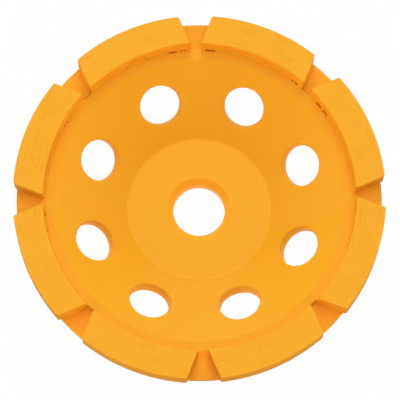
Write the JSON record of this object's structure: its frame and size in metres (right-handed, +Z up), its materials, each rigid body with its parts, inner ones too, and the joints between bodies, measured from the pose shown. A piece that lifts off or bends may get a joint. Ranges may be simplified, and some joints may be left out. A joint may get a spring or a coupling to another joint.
{
  "type": "diamond cup wheel",
  "caption": "Single-row diamond cup wheel: a dished steel body with air holes in its cone and arc-shaped diamond segments brazed round its rim, painted yellow-orange.",
  "frame": {"origin": "centre of the bore on the hub's back face", "axes": "+Z up the bore, towards the grinding face; -Y towards the viewer of the picture"},
  "size_m": [0.1146, 0.1146, 0.025],
  "materials": {
    "body_paint": "satin",
    "segment_paint": "matte"
  },
  "bodies": {
    "root": {"steel_body": "body_paint", "segment_1": "segment_paint", "segment_2": "segment_paint", "segment_3": "segment_paint", "segment_4": "segment_paint", "segment_5": "segment_paint", "segment_6": "segment_paint", "segment_7": "segment_paint", "segment_8": "segment_paint"}
  },
  "joints": []
}
